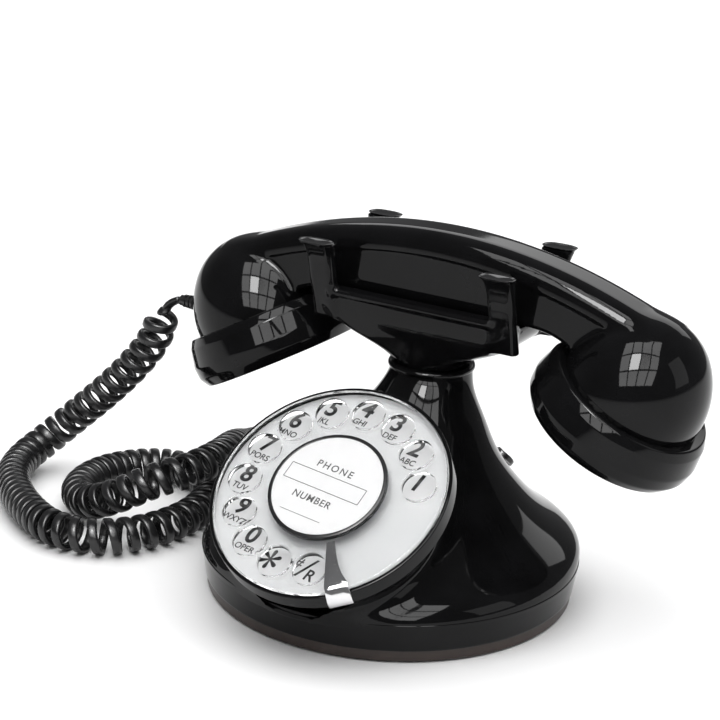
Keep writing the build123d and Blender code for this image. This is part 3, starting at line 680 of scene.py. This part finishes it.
def bell_field(x, y, z):
    """Distance from the body: a leaning bell and the dial's drum with a wide fillet."""
    radius = bell_radius(z)
    slope = bell_radius(z + 0.5) - bell_radius(z - 0.5)
    bell = (np.hypot(x, y - base_y - bell_back(z)) - radius) / np.sqrt(1 + slope ** 2)
    depth = -((y - dial_centre.y) * dial_normal.y + (z - dial_centre.z) * dial_normal.z)
    up = (y - dial_centre.y) * dial_up.y + (z - dial_centre.z) * dial_up.z
    beyond = depth - drum_straight
    eased = (beyond + np.sqrt(beyond ** 2 + 1.5)) / 2
    drum = (np.hypot(x, up) - drum_radius + drum_taper * eased) / hypot(1, drum_taper)
    body = joined(bell, drum, 12.0)
    return np.maximum(body, drum_front - depth)


def ringed_wall(rows, angles, holes):
    """A wall around the base circle: rows of (radius, height), with holes in some cells."""
    points, faces = [], []
    for angle in angles:
        for radius, height in rows:
            points.append((radius * cos(angle), base_y + radius * sin(angle), height))
    for face in grid_faces(len(angles), len(rows)):
        i, j = divmod(face[0], len(rows))
        turn = (angles[(i + 1) % len(angles)] - angles[i]) % (2 * pi)
        middle = angles[i] + turn / 2
        height = (rows[j][1] + rows[j + 1][1]) / 2
        if not any(low < height < high and abs((middle - at + pi) % (2 * pi) - pi) < half
                   for at, half, low, high in holes):
            faces.append(face)
    return points, faces


def beside(shape):
    """A shape drawn around the Z axis, moved to where the base stands."""
    return np.array(shape[0], dtype=float) + (base_x, 0, 0), shape[1]


def make_housing(material):
    """The one-piece housing: rim band, bell and drum, and the bezel round the dial."""
    bell = level_surface(bell_field, (-79, -70, 12.6), (79, 86, 85.3), 1.3)
    window_low, window_high = 6.2, 15.6
    half_window = 6.8 / rim_radius          # half the windows' width, as an angle
    crowded = 0.012                         # columns closer than this to a window's edge go
    windows = [(pi / 2, half_window, window_low, window_high),
               (jack_angle, half_window, window_low, window_high)]
    angles = set(2 * pi * step / 240 for step in range(240))
    for at, half, _, _ in windows:
        angles = {a for a in angles if abs(abs(a - at) - half) > crowded}
        angles |= {at - half, at + half}
    lean = (shoulder_radius - rim_radius) / (rim_top - rim_bottom)
    rows = [(71.4, rim_bottom), (72.9, rim_bottom), (73.35, rim_bottom + 0.1),
            (73.6, rim_bottom + 0.45)]
    for height in (window_low, 8.0, 10.9, 13.5, window_high):
        rows.append((rim_radius + lean * (height - rim_bottom), height))
    rows += [(75.2, 15.9), (75.15, 16.2), (74.95, 16.35), (73.4, 16.3)]
    band = ringed_wall(rows, sorted(angles), windows)
    bezel_profile = rounded_profile(
        [(47.36, -7.6), (47.36, -1.15), (45.98, -1.15), (45.98, -5.0)], [0.75, 0.35])
    bezel = lathe(bezel_profile, dial_centre, dial_normal, dial_across, 256)
    points, faces = gathered([beside(bell), beside(band),
                              (bezel[0], [f[::-1] for f in bezel[1]])])
    housing = add_piece("housing_shell", points, faces, material, "base", sharp=38)
    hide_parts("bell_housing")


# ---- handset -----------------------------------------------------------------------------
def dome_frame(side):
    """A dome's seam centre, its axis and a direction across it."""
    axis = Vector((side * sin(radians(dome_tilt)), 0, cos(radians(dome_tilt))))
    return Vector((side * dome_x, neck_y, dome_z)), axis, Vector((0, 1, 0))


def dome_field(x, y, z):
    """Distance from both domes: a wide arc up from the seam, then the ball end's arc."""
    centre, axis, _ = dome_frame(1)
    x = np.abs(x)
    height = (x - centre.x) * axis.x + (z - centre.z) * axis.z
    across = (x - centre.x) * axis.z - (z - centre.z) * axis.x
    reach = np.hypot(across, y - neck_y)
    join = radians(dome_join)
    side_radius = dome_radius + dome_offset
    ball_radius = side_radius - dome_offset / cos(join)
    on_side = np.hypot(reach + dome_offset, height) - side_radius
    on_ball = np.hypot(reach, height - dome_offset * tan(join)) - ball_radius
    dome = np.where(np.arctan2(height, reach + dome_offset) < join, on_side, on_ball)
    return np.maximum(dome, -1.6 - height)


grip_end_x = 97.0
belly_curve = smooth_curve([0, 40, 50, 58, 66, 74, 82, 100],
                           [112, 112, 111.2, 108.4, 103.6, 97.5, 91.0, 78.0])

# (radius, height) of a cap's wall, from the groove under the dome to behind the face
cap_wall = [(25.5, 1.5), (28.0, 1.2), (28.3, -0.7), (32.4, 0.2), (34.4, -3.6), (36.0, -11.5),
            (35.5, -16.6), (33.0, -20.5), (30.6, -20.5), (29.8, -19.5), (24.0, -19.5)]
cap_wall_rounding = [0.3, 0.5, 1.3, 2.5, 5.0, 3.5, 1.4, 0.4, 0.3]
cap_face_radius, cap_face_depth, cap_face_thickness = 28.0, 18.9, 1.4
sound_hole = 1.0
sound_circles = [(5.5, 6), (11.0, 12)]      # radius of each circle of holes, and its holes


def grip_field(x, y, z):
    """Distance from the grip: flat sides under a crown that overhangs them a little."""
    along = np.abs(x)
    crown = grip_crown - along ** 2 / grip_arch
    lean = np.sqrt(1 + (2 * along / grip_arch) ** 2)
    below_crown = (crown - z) / lean
    belly = (z - belly_curve(along)) / np.sqrt(1 + 0.35)
    side = np.abs(y - neck_y)
    panel = common(side - (grip_half - 0.9), -belly, 2.5)
    panel = common(panel, 4.0 - below_crown, 1.0)
    cap_side = side - grip_half
    roof = common(cap_side, -below_crown, 9.0)
    roof = common(roof, below_crown - 9.3, 1.2)
    grip = joined(panel, roof, 0.8)
    return np.maximum(grip, along - grip_end_x)


def handset_field(x, y, z):
    """Distance from the handset's shell."""
    return joined(grip_field(x, y, z), dome_field(x, y, z), 2.2)


def sound_cap(side, name, node, material):
    """A screwed-on cap: groove, lip, flaring wall, chamfer, and a dished, pierced face."""
    centre, axis, across = dome_frame(side)
    wall = lathe(rounded_profile(cap_wall, cap_wall_rounding), centre, axis, across)
    holes = [(0, 0, sound_hole)]
    for circle, count in sound_circles:
        for step in range(count):
            angle = 2 * pi * step / count
            holes.append((circle * cos(angle), circle * sin(angle), sound_hole))
    face = pierced_plate([(0, 0, cap_face_radius)] + holes, cap_face_thickness, 0.25)
    face_centre = centre - axis * cap_face_depth
    face = (put(face[0], face_centre, axis.cross(across), across, axis), face[1])
    points, faces = gathered([wall, face])
    piece = add_piece(name, points, faces, material, "handset", sharp=35)
    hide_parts(node)


def make_handset(material):
    """The handset's shell and its two caps."""
    low, high = (-114.5, neck_y - 30.5, 73), (114.5, neck_y + 30.5, 142.8)
    shell = level_surface(handset_field, low, high, 0.95)
    piece = add_piece("handset_body", *shell, material, "handset", sharp=50)
    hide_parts("handset_shell")
    sound_cap(1, "ear_cap_turned", "ear_cap", material)
    sound_cap(-1, "mouth_cap_turned", "mouth_cap", material)


# ---- cradle ------------------------------------------------------------------------------
hull_heights = [86.6, 92.0, 99.0, 106.0, 114.5, 118.0]
hull_length = smooth_curve(hull_heights, [14.5, 21.0, 35.0, 42.5, 44.0, 44.2])
hull_width = smooth_curve(hull_heights, [14.5, 16.0, 18.5, 20.0, 20.6, 20.8])
hull_corner = smooth_curve(hull_heights, [14.0, 12.5, 10.0, 8.0, 7.0, 7.0])
horn_x, horn_top, horn_spread = 39.5, 134.9, 27.5
horn_out = smooth_curve([100, 108, 120, 130.5, 134.9], [15.5, 17.6, 21.2, 24.6, 26.6])
horn_half_x = smooth_curve([100, 108, 120, 130.5, 134.9], [5.5, 5.5, 5.7, 6.1, 6.9])
horn_half_y = smooth_curve([100, 108, 120, 130.5, 134.9], [3.0, 2.8, 2.6, 2.5, 3.4])
horn_cap_half_x, horn_cap_half_y = 7.3, 4.3
# (share of the half width, height) of a horn's cap, from its underside to the dished middle
horn_cap_profile = rounded_profile(
    [(0.30, -1.6), (0.86, -1.3), (1.0, -0.15), (0.93, 0.0), (0.80, -0.22), (0.0, -0.30)],
    [0.2, 0.12, 0.05, 0.06], 3)


def cradle_field(x, y, z):
    """Distance from the cradle: a boat's hull with a channel along it and four horns."""
    x, y = np.abs(x), np.abs(y - neck_y)
    flare = hull_length(z + 0.5) - hull_length(z - 0.5)
    hull = rounded_box(x, y, hull_length(z), hull_width(z), hull_corner(z))
    hull = hull / np.sqrt(1 + 0.5 * flare ** 2)
    hull = common(hull, z - 114.5, 1.2)
    hull = np.maximum(hull, 86.4 - z)
    rail = np.hypot(y - 20.2, z - 113.2) - 1.6
    rail = common(rail, x - 36.0, 1.0)
    hull = joined(hull, rail, 0.6)
    horn = rounded_box(x - horn_x, y - horn_out(z), horn_half_x(z), horn_half_y(z), 2.3)
    horn = np.maximum(horn / 1.06, np.maximum(z - horn_top + 0.8, 102.0 - z))
    solid = joined(hull, horn, 2.4)
    channel = common(y - 13.7, cradle_floor - z, 3.0)
    return common(solid, -channel, 1.2)


def horn_cap(x, y):
    """Points and faces of the oval cap on the horn at x, y."""
    count = 64
    points = []
    for step in range(count):
        angle = 2 * pi * step / count
        across = horn_cap_half_x * squared(cos(angle), 0.75)
        along = horn_cap_half_y * squared(sin(angle), 0.75)
        points += [(x + across * share, y + along * share, horn_top + height)
                   for share, height in horn_cap_profile]
    return points, grid_faces(count, len(horn_cap_profile))


def make_cradle(material):
    """The cradle with its horns' flared oval caps."""
    low, high = (-47.5, neck_y - 32, 85.6), (47.5, neck_y + 32, 135.2)
    parts = [level_surface(cradle_field, low, high, 0.75)]
    for end in (-1, 1):
        for side in (-1, 1):
            parts.append(horn_cap(end * horn_x, neck_y + side * horn_spread))
    points, faces = beside(gathered(parts))
    piece = add_piece("cradle_body", points, faces, material, "base", sharp=42)
    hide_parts("cradle")


# ---- dial --------------------------------------------------------------------------------
def hole_places():
    """Centres of the finger holes on the dial, from hole 1 on."""
    for step in range(hole_count):
        angle = radians(first_hole + hole_pitch * step)
        yield hole_circle * cos(angle), hole_circle * sin(angle)


def make_wheel(material):
    """The clear finger wheel, its edges and holes softly rounded."""
    holes = [(x, y, hole_radius) for x, y in hole_places()]
    rings = [(0, 0, wheel_radius), (0, 0, shaft_hole_radius)] + holes
    plate = pierced_plate(rings, wheel_thickness, 0.5)
    points = on_dial(plate[0], shift=(0, 0, -wheel_thickness / 2))
    piece = add_piece("finger_wheel_clear", points, plate[1], material, "dial", sharp=40)
    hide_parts("finger_wheel")


print_turn = -7.0                           # degrees that all printing is turned on the dial
print_lift = -plate_depth + 0.04
card_print_lift = 1.62
digit_print = (7.2, 0.26, 0.1)              # height, boldness and slant
letter_print = (2.5, 0.04, 0.08)


def print_place(right, above, lift, x=0.0, y=0.0):
    """A place on the dial, so far right of and above x, y as the turned printing reads."""
    c, s = cos(radians(print_turn)), sin(radians(print_turn))
    return x + right * c - above * s, y + right * s + above * c, lift


def make_numbers(ink):
    """Digits and letters printed on the number plate, one group under each hole."""
    texts = [("1", ""), ("2", "ABC"), ("3", "DEF"), ("4", "GHI"), ("5", "JKL"), ("6", "MNO"),
             ("7", "PQRS"), ("8", "TUV"), ("9", "WXYZ"), ("0", "OPER"), ("*", ""), ("#/R", "")]
    parts = []

    def printed(text, height, bold, slant, right, above):
        shape = text_shape(text, height, bold, slant)
        shift = print_place(right, above, print_lift, x, y)
        parts.append((on_dial(shape[0], print_turn, shift), shape[1]))

    for (digit, letters), (x, y) in zip(texts, hole_places()):
        if digit == "*":
            printed(digit, 13.0, 0.2, 0.1, -5.4, -2.2)
        elif digit == "#/R":
            printed("#", 4.2, 0.08, 0.12, -8.0, 2.4)
            printed("/", 9.0, 0.12, 0.3, -5.0, 1.0)
            printed("R", 4.6, 0.12, 0.12, -1.0, -1.0)
        elif not letters:
            printed(digit, *digit_print, -3.7, 2.6)
        elif digit in "23456":
            printed(digit, *digit_print, -3.8, 3.9)
            printed(letters, *letter_print, -3.9, -2.3)
        else:
            printed(digit, *digit_print, -2.9, 3.7)
            printed(letters, *letter_print, -2.7, -2.1)
    points, faces = gathered(parts)
    piece = add_piece("dial_numbers", points, faces, ink, "base", smooth=False)


def flat_bar(x, y, width, height):
    """A thin printed bar."""
    points = []
    for z in (0, 0.02):
        for sx, sy in ((-1, -1), (1, -1), (1, 1), (-1, 1)):
            points.append((x + sx * width / 2, y + sy * height / 2, z))
    faces = [(3, 2, 1, 0), (4, 5, 6, 7)] + [(i, (i + 1) % 4, (i + 1) % 4 + 4, i + 4)
                                           for i in range(4)]
    return np.array(points), faces


def outline_box(width, height, line):
    """A thin printed frame."""
    parts = []
    for x, y, w, h in ((0, height / 2, width, line), (0, -height / 2, width, line),
                       (width / 2, 0, line, height), (-width / 2, 0, line, height)):
        parts.append(flat_bar(x, y, w, h))
    return gathered(parts)


def make_label(materials):
    """The card's printing (generic words, a box and a line), its ring and its clear cover."""
    ink = materials["black_trim"]
    parts = []

    def printed(shape, right, above):
        shift = print_place(right, above, card_print_lift)
        parts.append((on_dial(shape[0], print_turn, shift), shape[1]))

    printed(text_shape("PHONE", 2.9, 0.05, 0.0, 1.3), -1.2, 7.4)
    printed(outline_box(34.5, 6.8, 0.28), -1.5, 0.6)
    printed(text_shape("NUMBER", 2.9, 0.05, 0.0, 1.1), -2.2, -7.6)
    printed(flat_bar(0, 0, 18.5, 0.2), -2.6, -15.2)
    points, faces = gathered(parts)
    piece = add_piece("label_print", points, faces, ink, "dial", smooth=False)
    ring_profile = rounded_profile(
        [(23.3, 0.0), (23.25, 1.75), (label_radius, 1.95), (21.7, 0.9)], [0.5, 0.35])
    ring = lathe(ring_profile, dial_centre, dial_normal, dial_across, 160)
    piece = add_piece("label_ring_rounded", ring[0], [f[::-1] for f in ring[1]], ink, "dial",
                      sharp=40)
    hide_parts("label_ring")
    cover_profile = rounded_profile([(0.001, 1.72), (21.7, 1.72), (21.7, 2.1), (0.001, 2.3)],
                                    [0.05, 0.3])
    cover = lathe(cover_profile, dial_centre, dial_normal, dial_across, 128)
    piece = add_piece("label_cover_clear", cover[0], cover[1], materials["clear_cover"],
                      "dial", sharp=40)
    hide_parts("label_cover")


def make_stop(material):
    """The finger stop: a polished blade that widens to a fold, then a flange over the rim."""
    outward = dial_across * cos(radians(stop_angle)) + dial_up * sin(radians(stop_angle))
    sideways = dial_normal.cross(outward)
    tip, fold = 26.3, 45.2
    # distance out, left edge, right edge and height of each line across the blade
    stations = []
    for step in range(15):
        t = step / 14
        out = tip + (fold - tip) * t
        stations.append((out, -2.0 - 2.5 * t, 1.2 + 3.3 * t ** 3.2, 1.9))
    stations += [(45.7, -4.5, 4.5, 1.80), (46.2, -4.5, 4.5, 1.52), (48.9, -4.6, 4.6, -1.2),
                 (49.3, -4.6, 4.6, -1.9), (49.3, -4.6, 4.6, -4.2)]
    columns = 5
    points = []
    for out, left, right, height in stations:
        for step in range(columns):
            across = left + (right - left) * step / (columns - 1)
            points.append(dial_centre + outward * out + sideways * across + dial_normal * height)
    faces = grid_faces(len(stations), columns, closed=False)
    piece = add_piece("finger_stop_blade", [tuple(p) for p in points], faces, material)
    solid = piece.modifiers.new("thickness", "SOLIDIFY")
    solid.thickness = 0.9 * METRE
    solid.offset = 1.0
    bevel = piece.modifiers.new("edges", "BEVEL")
    bevel.width = 0.22 * METRE
    bevel.segments = 2
    bevel.limit_method = "ANGLE"
    bevel.angle_limit = radians(50)
    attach(piece, "base")
    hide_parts("finger_stop")


# ---- surroundings ------------------------------------------------------------------------
def make_stage():
    """A plain pale floor."""
    data = bpy.data.meshes.new("floor")
    reach = 9.0
    data.from_pydata([(-reach, -reach, 0), (reach, -reach, 0), (reach, reach, 0),
                      (-reach, reach, 0)], [], [(0, 1, 2, 3)])
    floor = bpy.data.objects.new("floor", data)
    bpy.context.scene.collection.objects.link(floor)
    material, tree, shader = new_material("floor")
    shader.inputs["Base Color"].default_value = (0.90, 0.90, 0.90, 1)
    shader.inputs["Roughness"].default_value = 0.8
    shader.inputs["Specular IOR Level"].default_value = 0.1
    data.materials.append(material)


def softbox(name, place, target, width, height, radiance, mirrored=True, lights=True):
    """A rectangular soft lamp; `mirrored` ones show in gloss, the others only give light.

    Without `lights` it only shows in gloss and adds no light of its own.
    """
    data = bpy.data.lights.new(name, "AREA")
    data.shape = "RECTANGLE"
    data.size, data.size_y = width, height
    data.energy = radiance * pi * width * height
    lamp = bpy.data.objects.new(name, data)
    lamp.location = place
    lamp.rotation_mode = "QUATERNION"
    lamp.rotation_quaternion = (Vector(target) - Vector(place)).to_track_quat("-Z", "Y")
    lamp.visible_glossy = mirrored
    lamp.visible_diffuse = lights
    lamp.visible_transmission = lights
    bpy.context.scene.collection.objects.link(lamp)


def make_lights():
    """Soft studio light: a broad ceiling lamp, a paned window and side panels."""
    world = bpy.data.worlds.new("world")
    bpy.context.scene.world = world
    world.use_nodes = True
    background = world.node_tree.nodes["Background"]
    background.inputs["Color"].default_value = (0.16, 0.16, 0.163, 1)
    background.inputs["Strength"].default_value = 1.0
    softbox("ceiling", (0.0, 0.3, 2.4), (0, 0, 0), 4.0, 4.0, 2.55, mirrored=False)
    # window behind the camera, above it: panes with dark bars between them
    middle = Vector((0.42, -1.15, 1.62))
    target = Vector((0.0, 0.0, 0.1))
    facing = (target - middle).normalized()
    right = facing.cross(Vector((0, 0, 1))).normalized()
    up = right.cross(facing)
    pane_width, pane_height = 0.44, 0.78
    column_step, row_step = 0.50, 0.86
    pane_radiance, brightest_radiance = 6.5, 34.0
    for column in range(4):
        for row in range(3):
            place = middle + right * (column - 1.5) * column_step + up * (row - 1) * row_step
            radiance = brightest_radiance if (column, row) == (1, 1) else pane_radiance
            softbox(f"pane_{column}_{row}", place, place + facing, pane_width, pane_height,
                    radiance, lights=False)
    # the light that the window itself would give
    softbox("fill", middle, target, 1.8, 1.6, 1.5, mirrored=False)
    softbox("side", (1.9, 0.1, 0.9), (0, 0, 0.05), 0.9, 1.3, 1.1)
    softbox("back", (-0.5, 2.2, 1.3), (0, 0, 0.1), 2.6, 0.7, 1.6)
    scene = bpy.context.scene
    scene.view_settings.view_transform = "Standard"


# ---- making ------------------------------------------------------------------------------
make_camera()
materials = make_materials()
make_cord(materials["cord_vinyl"])
dress_nodes(materials)
make_housing(materials["black_gloss"])
make_handset(materials["black_gloss"])
make_cradle(materials["black_gloss"])
make_wheel(materials["clear_acrylic"])
make_numbers(materials["black_trim"])
make_label(materials)
make_stop(materials["polished_steel"])
make_stage()
make_lights()
